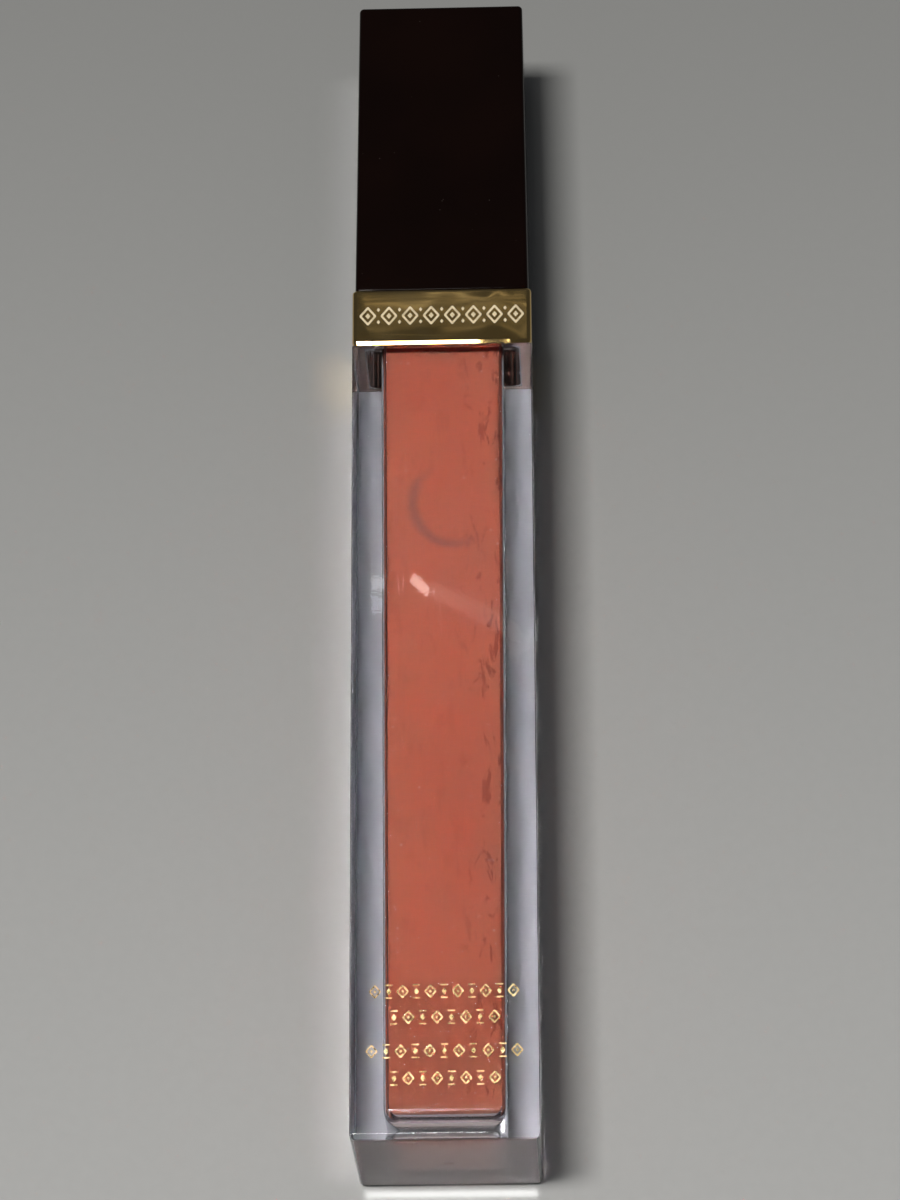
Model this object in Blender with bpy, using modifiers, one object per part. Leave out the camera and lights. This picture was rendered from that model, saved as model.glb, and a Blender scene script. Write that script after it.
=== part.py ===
"""A square lip gloss tube lying on its back, with a screw cap that carries a brush on a wand.

Every piece is modelled standing up, with the tube's axis along its own Z and z = 0 at the
middle of the base end. Empties on that axis, one for each group that moves, then lay the
pieces down, so that the tube lies along Y with its cap towards +Y and its front facing +Z.
"""

import math

import bmesh
import bpy

# Outside of the tube
BODY_WIDTH = 0.0170
JACKET_LENGTH = 0.0770
COLLAR_GAP = 0.0003
COLLAR_HEIGHT = 0.00545
CAP_LENGTH = 0.0306
CAP_WIDTH_BASE = 0.01645
CAP_WIDTH_TOP = 0.01585
JACKET_EDGE = 0.0003
COLLAR_EDGE = 0.00035
CAP_EDGE = 0.0004

# Fits
FIT_GAP = 0.0001
CLOSE_GAP = 0.00005
CUT_OVERRUN = 0.001

# Clear jacket, with a narrower shoulder that the collar sits round
SHOULDER_WIDTH = 0.0145
SHOULDER_CORNER = 0.0010
SHOULDER_TOP_Z = 0.0809
CAVITY_WIDTH_BASE = 0.0110
CAVITY_WIDTH_TOP = 0.0116
CAVITY_FLOOR = 0.0018
CAVITY_CORNER = 0.0013

# Inner vial
VIAL_WIDTH_BASE = 0.01076
VIAL_WIDTH_TOP = 0.01136
VIAL_WALL = 0.0004
VIAL_BASE_Z = 0.0021
VIAL_FLOOR = 0.00065
VIAL_CORNER = 0.0011
CHAMBER_CORNER = 0.0008
CHAMBER_TOP_Z = 0.0804
FLANGE_WIDTH = 0.0144
FLANGE_CORNER = 0.0009
FLANGE_HEIGHT = 0.0010
NECK_RADIUS = 0.0046
NECK_BORE = 0.0035
NECK_TOP_Z = 0.0910

# Screw thread: rounded beads on the neck and in the inner cap
THREAD_PITCH = 0.0030
THREAD_TURNS = 1.25
NECK_THREAD_Z = 0.0842
NECK_BEAD = 0.00055
CAP_BEAD = 0.0005
CAP_BEAD_DROP = 0.0009
THREAD_RUNOUT = 0.1
THREAD_END_SCALE = 0.35
THREAD_STEPS_PER_TURN = 40

# Wiper
WIPER_TUBE = 0.0034
WIPER_WALL = 0.0005
WIPER_FLANGE = 0.0044
WIPER_FLANGE_HEIGHT = 0.0006
WIPER_CONE_Z = 0.0846
WIPER_LIP_Z = 0.0824
WIPER_ORIFICE = 0.00125

# Closure inside the cap
SEAL_HEIGHT = 0.0009
SEAL_HOLE = 0.00135
CUP_BORE = 0.00535
CUP_RADIUS = 0.0063
CUP_BOTTOM_Z = 0.08305
CUP_CEILING = 0.0014
SOCKET_BORE = 0.00175
SOCKET_RADIUS = 0.0030
SOCKET_HEIGHT = 0.0078
SOCKET_END = 0.0013
PLATE_WIDTH = 0.0135
PLATE_TOP_WIDTH = 0.0131
PLATE_CORNER = 0.0006
PLATE_HEIGHT = 0.0013
SHELL_WALL = 0.0012
COLLAR_WALL = 0.0011
COLLAR_TOP_WALL = 0.0007
COLLAR_HOLE = 0.0054

# Wand and brush
STEM_RADIUS = 0.0011
STEM_HEAD_RADIUS = 0.00165
STEM_HEAD_LENGTH = 0.0072
STEM_TIP_Z = 0.0175
TUFT_BORE = 0.0008
TUFT_BORE_DEPTH = 0.0030
TUFT_ROOT = 0.00070
TUFT_BELLY = 0.00150
TUFT_BELLY_AT = 0.4
TUFT_TIP_Z = 0.0078
TUFT_ROOT_DEPTH = 0.0019
ANCHOR_LENGTH = 0.0014
ANCHOR_WIDTH = 0.0004
ANCHOR_HEIGHT = 0.0006
WAND_HOLE = 0.00175
WAND_HOLE_MARGIN = 0.0008

# Mesh fineness
ROUND_STEPS = 40
TUFT_STEPS = 12
CORNER_SEGMENTS = 3
BEAD_RESOLUTION = 2
EDGE_SEGMENTS = 2
SHARP_ANGLE = 60
MERGE = 0.000001

# Positions that follow from the dimensions above
COLLAR_Z = JACKET_LENGTH + COLLAR_GAP
COLLAR_TOP_Z = COLLAR_Z + COLLAR_HEIGHT
SHELL_Z = COLLAR_TOP_Z + CLOSE_GAP
TOTAL_LENGTH = SHELL_Z + CAP_LENGTH
CHAMBER_FLOOR_Z = VIAL_BASE_Z + VIAL_FLOOR
FLANGE_Z = SHOULDER_TOP_Z + CLOSE_GAP
FLANGE_TOP_Z = FLANGE_Z + FLANGE_HEIGHT
WIPER_TOP_Z = NECK_TOP_Z + CLOSE_GAP + WIPER_FLANGE_HEIGHT
SEAL_Z = WIPER_TOP_Z + FIT_GAP
CEILING_Z = SEAL_Z + SEAL_HEIGHT + FIT_GAP
CEILING_TOP_Z = CEILING_Z + CUP_CEILING
SOCKET_TOP_Z = CEILING_TOP_Z + SOCKET_HEIGHT
STEM_HEAD_Z = CEILING_Z + FIT_GAP
STEM_TOP_Z = STEM_HEAD_Z + STEM_HEAD_LENGTH

CLEAR_COLOUR = (0.86, 0.84, 0.90)
GLOSS_COLOUR = (0.50, 0.14, 0.09)
WHITE_PLASTIC_COLOUR = (0.80, 0.79, 0.76)
CAP_COLOUR = (0.012, 0.006, 0.004)
GOLD_COLOUR = (0.72, 0.50, 0.20)
BRASS_COLOUR = (0.60, 0.45, 0.18)
STEM_COLOUR = (0.02, 0.015, 0.012)
FIBRE_COLOUR = (0.04, 0.03, 0.025)


def clear_scene():
    for old in list(bpy.data.objects):
        bpy.data.objects.remove(old, do_unlink=True)


def make_collection(name):
    collection = bpy.data.collections.new(name)
    bpy.context.scene.collection.children.link(collection)
    return collection


def make_material(name, colour, roughness, metallic=0.0, transmission=0.0):
    material = bpy.data.materials.new(name)
    material.use_nodes = True
    shader = material.node_tree.nodes["Principled BSDF"]
    shader.inputs["Base Color"].default_value = (*colour, 1.0)
    shader.inputs["Roughness"].default_value = roughness
    shader.inputs["Metallic"].default_value = metallic
    shader.inputs["Transmission Weight"].default_value = transmission
    material.diffuse_color = (*colour, 1.0)
    return material


def make_axis(name, collection):
    """An empty on the tube's axis, at the base end, that lays what it holds down along Y."""
    axis = bpy.data.objects.new(name, None)
    axis.empty_display_size = BODY_WIDTH
    axis.location = (0.0, -TOTAL_LENGTH / 2, BODY_WIDTH / 2)
    axis.rotation_euler = (-math.pi / 2, 0.0, 0.0)
    collection.objects.link(axis)
    return axis


class Workshop:
    """Where new objects go: the pieces' collection, the cutters' collection and the axis."""

    def __init__(self):
        self.pieces = make_collection("lip_gloss_tube")
        self.cutters = make_collection("cutters")
        self.axis = None

    def piece(self, name, mesh, material):
        piece = bpy.data.objects.new(name, mesh)
        mesh.materials.append(material)
        self.pieces.objects.link(piece)
        piece.parent = self.axis
        return piece

    def tool(self, name, mesh):
        """A helper for a Boolean, which is not a piece of the object."""
        tool = bpy.data.objects.new(name, mesh)
        self.cutters.objects.link(tool)
        tool.parent = self.axis
        tool.hide_render = True
        tool.display_type = "WIRE"
        return tool


def prism_mesh(name, low, high, width_low, width_high, corner, round_low=False, round_high=False):
    """A square prism or frustum along Z with rounded long edges, and rounded rims if asked."""
    mesh = bpy.data.meshes.new(name)
    shape = bmesh.new()
    bmesh.ops.create_cube(shape, size=1.0)
    for vertex in shape.verts:
        at_top = vertex.co.z > 0
        width = width_high if at_top else width_low
        vertex.co.x *= width
        vertex.co.y *= width
        vertex.co.z = high if at_top else low
    middle = (low + high) / 2
    rounded = []
    for edge in shape.edges:
        ends_above = [vertex.co.z > middle for vertex in edge.verts]
        upright = any(ends_above) and not all(ends_above)
        on_high_rim = round_high and all(ends_above)
        on_low_rim = round_low and not any(ends_above)
        if upright or on_low_rim or on_high_rim:
            rounded.append(edge)
    bmesh.ops.bevel(
        shape,
        geom=rounded,
        offset=corner,
        offset_type="OFFSET",
        segments=CORNER_SEGMENTS,
        profile=0.5,
        affect="EDGES",
    )
    bmesh.ops.recalc_face_normals(shape, faces=shape.faces)
    shape.to_mesh(mesh)
    shape.free()
    return mesh


def cylinder_mesh(name, radius, low, high):
    mesh = bpy.data.meshes.new(name)
    shape = bmesh.new()
    bmesh.ops.create_cone(
        shape,
        cap_ends=True,
        segments=ROUND_STEPS,
        radius1=radius,
        radius2=radius,
        depth=high - low,
    )
    bmesh.ops.translate(shape, verts=shape.verts, vec=(0.0, 0.0, (low + high) / 2))
    shape.to_mesh(mesh)
    shape.free()
    return mesh


def profile_mesh(name, points, closed):
    """The outline that a Screw modifier turns: (radius, height) pairs, down the outer side."""
    mesh = bpy.data.meshes.new(name)
    edges = [(index, index + 1) for index in range(len(points) - 1)]
    if closed:
        edges.append((len(points) - 1, 0))
    mesh.from_pydata([(radius, 0.0, height) for radius, height in points], edges, [])
    return mesh


def turn(piece):
    screw = piece.modifiers.new("turned", "SCREW")
    screw.axis = "Z"
    screw.steps = ROUND_STEPS
    screw.render_steps = ROUND_STEPS
    screw.use_merge_vertices = True
    screw.merge_threshold = MERGE
    screw.use_smooth_shade = True


def boolean(piece, tool, operation):
    modifier = piece.modifiers.new(tool.name, "BOOLEAN")
    modifier.operation = operation
    modifier.object = tool
    modifier.solver = "EXACT"


def bevel_rims(piece, width):
    bevel = piece.modifiers.new("edge bevel", "BEVEL")
    bevel.width = width
    bevel.segments = EDGE_SEGMENTS
    bevel.limit_method = "ANGLE"
    bevel.angle_limit = math.radians(SHARP_ANGLE)


def thread_bead(shop, name, radius, start_z, bead_radius):
    """A right-hand helical bead as a closed mesh, thinning out at both ends."""
    curve = bpy.data.curves.new(name, "CURVE")
    curve.dimensions = "3D"
    curve.bevel_depth = bead_radius
    curve.bevel_resolution = BEAD_RESOLUTION
    curve.use_fill_caps = True
    curve.twist_mode = "Z_UP"
    steps = round(THREAD_TURNS * THREAD_STEPS_PER_TURN)
    spline = curve.splines.new("POLY")
    spline.points.add(steps)
    for step, point in enumerate(spline.points):
        along = step / steps
        angle = 2 * math.pi * THREAD_TURNS * along
        height = start_z + THREAD_PITCH * THREAD_TURNS * along
        point.co = (radius * math.cos(angle), radius * math.sin(angle), height, 1.0)
        from_end = min(along, 1 - along) / THREAD_RUNOUT
        point.radius = min(1.0, THREAD_END_SCALE + (1 - THREAD_END_SCALE) * from_end)
    helix = bpy.data.objects.new(name, curve)
    bpy.context.scene.collection.objects.link(helix)
    bpy.context.view_layer.update()
    graph = bpy.context.evaluated_depsgraph_get()
    mesh = bpy.data.meshes.new_from_object(helix.evaluated_get(graph))
    bpy.data.objects.remove(helix, do_unlink=True)
    shape = bmesh.new()
    shape.from_mesh(mesh)
    bmesh.ops.remove_doubles(shape, verts=shape.verts, dist=MERGE)
    bmesh.ops.recalc_face_normals(shape, faces=shape.faces)
    shape.to_mesh(mesh)
    shape.free()
    return shop.tool(name, mesh)


def make_outer_jacket(shop):
    material = make_material("clear jacket", CLEAR_COLOUR, 0.03, transmission=1.0)
    block = prism_mesh(
        "outer_jacket", 0.0, JACKET_LENGTH, BODY_WIDTH, BODY_WIDTH, JACKET_EDGE, True, True
    )
    jacket = shop.piece("outer_jacket", block, material)
    shoulder = prism_mesh(
        "jacket_shoulder",
        JACKET_LENGTH - CUT_OVERRUN,
        SHOULDER_TOP_Z,
        SHOULDER_WIDTH,
        SHOULDER_WIDTH,
        SHOULDER_CORNER,
    )
    cavity = prism_mesh(
        "jacket_cavity",
        CAVITY_FLOOR,
        SHOULDER_TOP_Z + CUT_OVERRUN,
        CAVITY_WIDTH_BASE,
        CAVITY_WIDTH_TOP,
        CAVITY_CORNER,
        round_low=True,
    )
    boolean(jacket, shop.tool("jacket_shoulder", shoulder), "UNION")
    boolean(jacket, shop.tool("jacket_cavity", cavity), "DIFFERENCE")


def make_inner_vial(shop):
    material = make_material("clear vial", CLEAR_COLOUR, 0.04, transmission=1.0)
    body = prism_mesh(
        "inner_vial",
        VIAL_BASE_Z,
        FLANGE_Z + FLANGE_HEIGHT / 2,
        VIAL_WIDTH_BASE,
        VIAL_WIDTH_TOP,
        VIAL_CORNER,
        round_low=True,
    )
    vial = shop.piece("inner_vial", body, material)
    flange = prism_mesh(
        "vial_flange", FLANGE_Z, FLANGE_TOP_Z, FLANGE_WIDTH, FLANGE_WIDTH, FLANGE_CORNER
    )
    neck = cylinder_mesh(
        "neck_outside", NECK_RADIUS, FLANGE_TOP_Z - FLANGE_HEIGHT / 2, NECK_TOP_Z
    )
    chamber = prism_mesh(
        "vial_chamber",
        CHAMBER_FLOOR_Z,
        CHAMBER_TOP_Z,
        VIAL_WIDTH_BASE - 2 * VIAL_WALL,
        VIAL_WIDTH_TOP - 2 * VIAL_WALL,
        CHAMBER_CORNER,
        round_low=True,
        round_high=True,
    )
    bore = cylinder_mesh(
        "neck_bore", NECK_BORE, CHAMBER_TOP_Z - CUT_OVERRUN, NECK_TOP_Z + CUT_OVERRUN
    )
    boolean(vial, shop.tool("vial_flange", flange), "UNION")
    boolean(vial, shop.tool("neck_outside", neck), "UNION")
    bead = thread_bead(shop, "neck_thread", NECK_RADIUS, NECK_THREAD_Z, NECK_BEAD)
    boolean(vial, bead, "UNION")
    boolean(vial, shop.tool("vial_chamber", chamber), "DIFFERENCE")
    boolean(vial, shop.tool("neck_bore", bore), "DIFFERENCE")


def make_gloss_fill(shop):
    """The gloss itself, with the channel that the wand stands in."""
    material = make_material("coral gloss", GLOSS_COLOUR, 0.25)
    inset = 2 * (VIAL_WALL + CLOSE_GAP)
    body = prism_mesh(
        "gloss_fill",
        CHAMBER_FLOOR_Z + CLOSE_GAP,
        CHAMBER_TOP_Z - CLOSE_GAP,
        VIAL_WIDTH_BASE - inset,
        VIAL_WIDTH_TOP - inset,
        CHAMBER_CORNER,
        round_low=True,
        round_high=True,
    )
    gloss = shop.piece("gloss_fill", body, material)
    channel = cylinder_mesh(
        "wand_channel",
        WAND_HOLE,
        TUFT_TIP_Z - WAND_HOLE_MARGIN,
        CHAMBER_TOP_Z + CUT_OVERRUN,
    )
    boolean(gloss, shop.tool("wand_channel", channel), "DIFFERENCE")


def make_wiper_insert(shop):
    material = make_material("wiper plastic", WHITE_PLASTIC_COLOUR, 0.45)
    flange_z = NECK_TOP_Z + CLOSE_GAP
    outline = [
        (WIPER_FLANGE, WIPER_TOP_Z),
        (WIPER_FLANGE, flange_z),
        (WIPER_TUBE, flange_z),
        (WIPER_TUBE, WIPER_CONE_Z),
        (WIPER_ORIFICE + WIPER_WALL / 2, WIPER_LIP_Z),
        (WIPER_ORIFICE, WIPER_LIP_Z),
        (WIPER_ORIFICE, WIPER_LIP_Z + WIPER_WALL),
        (WIPER_TUBE - WIPER_WALL, WIPER_CONE_Z + WIPER_WALL),
        (WIPER_TUBE - WIPER_WALL, WIPER_TOP_Z),
    ]
    turn(shop.piece("wiper_insert", profile_mesh("wiper_insert", outline, True), material))


def make_seal_ring(shop):
    material = make_material("seal foam", WHITE_PLASTIC_COLOUR, 0.7)
    outline = [
        (WIPER_FLANGE, SEAL_Z + SEAL_HEIGHT),
        (WIPER_FLANGE, SEAL_Z),
        (SEAL_HOLE, SEAL_Z),
        (SEAL_HOLE, SEAL_Z + SEAL_HEIGHT),
    ]
    turn(shop.piece("seal_ring", profile_mesh("seal_ring", outline, True), material))


def make_wand_stem(shop):
    """The stem, with a thicker head for the cap's socket and a blind bore for the bristles."""
    material = make_material("stem plastic", STEM_COLOUR, 0.3)
    tip_round = TUFT_BORE / 4
    outline = [
        (0.0, STEM_TOP_Z),
        (STEM_HEAD_RADIUS, STEM_TOP_Z),
        (STEM_HEAD_RADIUS, STEM_HEAD_Z),
        (STEM_RADIUS, STEM_HEAD_Z),
        (STEM_RADIUS, STEM_TIP_Z + tip_round),
        (STEM_RADIUS - tip_round / 2, STEM_TIP_Z),
        (TUFT_BORE, STEM_TIP_Z),
        (TUFT_BORE, STEM_TIP_Z + TUFT_BORE_DEPTH),
        (0.0, STEM_TIP_Z + TUFT_BORE_DEPTH),
    ]
    turn(shop.piece("wand_stem", profile_mesh("wand_stem", outline, False), material))


def tuft_radius(along):
    """Half width of the tuft from its root in the stem (0) to its rounded tip (1)."""
    if along < TUFT_BELLY_AT:
        swell = math.sin(math.pi / 2 * along / TUFT_BELLY_AT)
        return TUFT_ROOT + (TUFT_BELLY - TUFT_ROOT) * swell
    past_belly = (along - TUFT_BELLY_AT) / (1 - TUFT_BELLY_AT)
    return TUFT_BELLY * math.sqrt(1 - past_belly**2)


def make_brush_tuft(shop):
    material = make_material("brush fibre", FIBRE_COLOUR, 0.5)
    length = STEM_TIP_Z - CLOSE_GAP - TUFT_TIP_Z
    root_top = STEM_TIP_Z + TUFT_ROOT_DEPTH
    outline = [(0.0, root_top), (TUFT_ROOT, root_top)]
    for step in range(TUFT_STEPS):
        along = step / TUFT_STEPS
        outline.append((tuft_radius(along), STEM_TIP_Z - CLOSE_GAP - length * along))
    outline.append((0.0, TUFT_TIP_Z))
    turn(shop.piece("brush_tuft", profile_mesh("brush_tuft", outline, False), material))


def make_tuft_anchor(shop):
    """The flat wire that holds the folded bristles at the bottom of the stem's bore."""
    material = make_material("anchor wire", BRASS_COLOUR, 0.3, metallic=1.0)
    mesh = bpy.data.meshes.new("tuft_anchor")
    shape = bmesh.new()
    bmesh.ops.create_cube(shape, size=1.0)
    bmesh.ops.scale(shape, verts=shape.verts, vec=(ANCHOR_LENGTH, ANCHOR_WIDTH, ANCHOR_HEIGHT))
    shape.to_mesh(mesh)
    shape.free()
    anchor = shop.piece("tuft_anchor", mesh, material)
    anchor.location.z = STEM_TIP_Z + TUFT_ROOT_DEPTH + FIT_GAP + ANCHOR_HEIGHT / 2
    bevel_rims(anchor, ANCHOR_WIDTH / 5)


def make_inner_cap(shop):
    """Threaded cup, wand socket and two square plates that centre it in the cap shell."""
    material = make_material("inner cap plastic", CAP_COLOUR, 0.4)
    outline = [
        (0.0, SOCKET_TOP_Z),
        (SOCKET_RADIUS, SOCKET_TOP_Z),
        (SOCKET_RADIUS, CEILING_TOP_Z),
        (CUP_RADIUS, CEILING_TOP_Z),
        (CUP_RADIUS, CUP_BOTTOM_Z),
        (CUP_BORE, CUP_BOTTOM_Z),
        (CUP_BORE, CEILING_Z),
        (SOCKET_BORE, CEILING_Z),
        (SOCKET_BORE, SOCKET_TOP_Z - SOCKET_END),
        (0.0, SOCKET_TOP_Z - SOCKET_END),
    ]
    cap = shop.piece("inner_cap", profile_mesh("inner_cap", outline, False), material)
    turn(cap)
    low_plate = prism_mesh(
        "low_plate",
        SHELL_Z + FIT_GAP,
        SHELL_Z + FIT_GAP + PLATE_HEIGHT,
        PLATE_WIDTH,
        PLATE_WIDTH,
        PLATE_CORNER,
    )
    top_plate = prism_mesh(
        "top_plate",
        SOCKET_TOP_Z - SOCKET_END + FIT_GAP,
        SOCKET_TOP_Z + FIT_GAP,
        PLATE_TOP_WIDTH,
        PLATE_TOP_WIDTH,
        PLATE_CORNER,
    )
    mid_wall = (CUP_BORE + CUP_RADIUS) / 2
    through = cylinder_mesh(
        "cup_clearance", mid_wall, CUP_BOTTOM_Z - CUT_OVERRUN, CEILING_Z - CUT_OVERRUN
    )
    plate = shop.tool("low_plate", low_plate)
    boolean(plate, shop.tool("cup_clearance", through), "DIFFERENCE")
    boolean(cap, plate, "UNION")
    boolean(cap, shop.tool("top_plate", top_plate), "UNION")
    bead = thread_bead(shop, "cap_thread", CUP_BORE, NECK_THREAD_Z - CAP_BEAD_DROP, CAP_BEAD)
    boolean(cap, bead, "UNION")


def make_cap_shell(shop):
    material = make_material("dark cap", CAP_COLOUR, 0.12)
    body = prism_mesh(
        "cap_shell",
        SHELL_Z,
        TOTAL_LENGTH,
        CAP_WIDTH_BASE,
        CAP_WIDTH_TOP,
        CAP_EDGE,
        round_high=True,
    )
    shell = shop.piece("cap_shell", body, material)
    hollow = prism_mesh(
        "cap_hollow",
        SHELL_Z - CUT_OVERRUN,
        TOTAL_LENGTH - SHELL_WALL,
        CAP_WIDTH_BASE - 2 * SHELL_WALL,
        CAP_WIDTH_TOP - 2 * SHELL_WALL,
        CAP_EDGE,
    )
    boolean(shell, shop.tool("cap_hollow", hollow), "DIFFERENCE")


def make_gold_collar(shop):
    """The collar stays on the bottle, pressed over the jacket's shoulder and the vial's flange."""
    material = make_material("polished gold", GOLD_COLOUR, 0.08, metallic=1.0)
    body = prism_mesh(
        "gold_collar", COLLAR_Z, COLLAR_TOP_Z, BODY_WIDTH, BODY_WIDTH, COLLAR_EDGE, True, True
    )
    collar = shop.piece("gold_collar", body, material)
    width = BODY_WIDTH - 2 * COLLAR_WALL
    hollow = prism_mesh(
        "collar_hollow",
        COLLAR_Z - CUT_OVERRUN,
        COLLAR_TOP_Z - COLLAR_TOP_WALL,
        width,
        width,
        COLLAR_EDGE,
    )
    hole = cylinder_mesh(
        "collar_hole",
        COLLAR_HOLE,
        COLLAR_TOP_Z - COLLAR_TOP_WALL - CUT_OVERRUN,
        COLLAR_TOP_Z + CUT_OVERRUN,
    )
    boolean(collar, shop.tool("collar_hollow", hollow), "DIFFERENCE")
    boolean(collar, shop.tool("collar_hole", hole), "DIFFERENCE")


def main():
    clear_scene()
    shop = Workshop()
    shop.axis = make_axis("bottle_axis", shop.pieces)
    make_outer_jacket(shop)
    make_inner_vial(shop)
    make_gloss_fill(shop)
    make_wiper_insert(shop)
    make_gold_collar(shop)
    shop.axis = make_axis("wand_axis", shop.pieces)
    make_seal_ring(shop)
    make_wand_stem(shop)
    make_brush_tuft(shop)
    make_tuft_anchor(shop)
    shop.axis = make_axis("cap_axis", shop.pieces)
    make_inner_cap(shop)
    make_cap_shell(shop)


main()
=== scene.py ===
"""Looks of a square lip gloss tube lying on its back: clear jacket, coral gloss, gold collar, dark cap.

Pieces are made standing up, round the local Z axis with z = 0 at the base end, and LAY then lays
them down as the CAD frame has them: the cap towards +Y and the front (local -Y) facing +Z.
"""

import math
import random

import bmesh
import bpy
from mathutils import Matrix, Vector


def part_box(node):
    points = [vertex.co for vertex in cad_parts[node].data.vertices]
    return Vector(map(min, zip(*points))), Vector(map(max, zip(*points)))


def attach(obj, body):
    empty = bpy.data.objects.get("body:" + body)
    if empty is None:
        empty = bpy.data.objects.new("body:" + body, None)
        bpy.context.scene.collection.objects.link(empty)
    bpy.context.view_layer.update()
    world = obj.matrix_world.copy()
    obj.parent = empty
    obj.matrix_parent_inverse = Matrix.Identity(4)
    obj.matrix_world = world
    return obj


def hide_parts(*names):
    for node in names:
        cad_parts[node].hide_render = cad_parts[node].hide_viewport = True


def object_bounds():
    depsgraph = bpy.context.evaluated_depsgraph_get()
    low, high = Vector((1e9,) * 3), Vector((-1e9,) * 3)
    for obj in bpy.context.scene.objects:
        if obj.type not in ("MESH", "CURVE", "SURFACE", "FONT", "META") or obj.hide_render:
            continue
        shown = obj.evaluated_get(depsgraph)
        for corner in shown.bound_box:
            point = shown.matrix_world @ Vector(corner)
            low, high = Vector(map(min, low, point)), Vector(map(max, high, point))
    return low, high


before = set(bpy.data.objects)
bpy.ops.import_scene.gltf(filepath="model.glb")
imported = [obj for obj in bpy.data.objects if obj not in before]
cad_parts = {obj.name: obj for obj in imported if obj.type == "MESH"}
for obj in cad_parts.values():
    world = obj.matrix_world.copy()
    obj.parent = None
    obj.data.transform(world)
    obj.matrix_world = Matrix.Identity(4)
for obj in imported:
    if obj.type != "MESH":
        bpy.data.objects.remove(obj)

CAD_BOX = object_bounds()
MM = 0.001

# Camera, in metres round the object's own frame
CAMERA_PLACE = Vector((0.01363, -0.15652, 0.40378))
CAMERA_AIM = Vector((0.00067, -0.00565, 0.0170))
CAMERA_ROLL = math.radians(0.245)
CAMERA_LENS = 135.0
CAMERA_SENSOR = 36.0
CAMERA_CLIP_START = 0.01
CAMERA_CLIP_END = 10.0

# Mesh fineness
CORNER_STEPS = 6
SIDE_STEPS = 10
ROUND_STEPS = 96
ARC_STEPS = 5
SHARP_ANGLE = math.radians(38)

# What the pieces share
PRINT_DEPTH = 0.012 * MM
SKIN = 0.015 * MM
WETTED = 0.03 * MM
GLOSS_LIFT = 0.06 * MM
PLUG_GAP = 0.1 * MM

# Clear jacket
JACKET_BASE_EDGE = 0.72 * MM
JACKET_TOP_EDGE = 0.04 * MM
JACKET_CORNER = 0.20 * MM
CAVITY_HALF_BASE = 5.50 * MM
CAVITY_HALF_TOP = 5.80 * MM
CAVITY_FLOOR = 1.8 * MM
CAVITY_CORNER = 0.24 * MM
CAVITY_BOTTOM_ROUND = 1.5 * MM
BODY_LENGTH = 77.0 * MM
SHOULDER_HALF = 7.25 * MM
SHOULDER_CORNER = 1.0 * MM
SHOULDER_EDGE = 0.10 * MM
GATE_RADIUS = 0.55 * MM
GATE_DEPTH = 0.06 * MM
GATE_TAPER = 0.85
FLAT_MARGIN = 0.06 * MM

# Inner vial
VIAL_HALF_BASE = 5.32 * MM
VIAL_HALF_TOP = 5.62 * MM
VIAL_WALL = 0.26 * MM
VIAL_FLOOR = 0.65 * MM
VIAL_CORNER = 0.20 * MM
VIAL_BOTTOM_ROUND = 1.4 * MM
CHAMBER_CORNER = 0.10 * MM
CHAMBER_BOTTOM_ROUND = 1.1 * MM
CHAMBER_TOP = 80.4 * MM
FLANGE_HALF = 7.2 * MM
FLANGE_CORNER = 0.9 * MM
FLANGE_LOW = 80.95 * MM
FLANGE_TOP = 81.95 * MM
FLANGE_EDGE = 0.12 * MM
NECK_RADIUS = 4.6 * MM
NECK_BORE = 3.5 * MM
NECK_EDGE = 0.15 * MM

# Threads
THREAD_PITCH = 3.0 * MM
THREAD_TURNS = 1.25
THREAD_START = 84.2 * MM
THREAD_STEPS = 110
THREAD_SIDES = 12
NECK_BEAD = 0.55 * MM
CAP_BEAD = 0.50 * MM
CAP_BEAD_DROP = 0.9 * MM
THREAD_RUNOUT = 0.1
THREAD_END_SCALE = 0.35

# Wiper and seal
WIPER_TUBE = 3.4 * MM
WIPER_WALL = 0.5 * MM
WIPER_FLANGE = 4.4 * MM
WIPER_FLANGE_HEIGHT = 0.6 * MM
WIPER_CONE = 84.6 * MM
WIPER_LIP = 82.4 * MM
WIPER_ORIFICE = 1.25 * MM
SEAL_HOLE = 1.35 * MM
SEAL_EDGE = 0.12 * MM

# Wand
STEM_RADIUS = 1.1 * MM
STEM_HEAD_RADIUS = 1.65 * MM
STEM_HEAD_LENGTH = 7.2 * MM
TUFT_BORE = 0.8 * MM
TUFT_BORE_DEPTH = 3.0 * MM
CHANNEL_RADIUS = 1.75 * MM
CHANNEL_MARGIN = 0.8 * MM
BRISTLES = 190
BRISTLE_RADIUS = 0.045 * MM
BRISTLE_STEPS = 9
BRISTLE_SIDES = 5
TUFT_ROOT_RADIUS = 0.66 * MM
TUFT_BELLY_RADIUS = 1.42 * MM
TUFT_BELLY_AT = 0.4
TUFT_TIP_SHARE = 0.07
TUFT_TIP_POWER = 2.4
BRISTLE_SEED = 7
BRISTLE_JITTER = 0.2
BRISTLE_TWIST = 0.2
BRISTLE_TAPER = 0.55
BRISTLE_ROOT_GATHER = 0.92
RIM_SHORTENING = 0.62
RIM_POWER = 2.2
RIM_EVENNESS = 0.75
GLOSS_FILM_FROM = 60.0 * MM
GLOSS_FILM_FULL = 20.0 * MM

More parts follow.
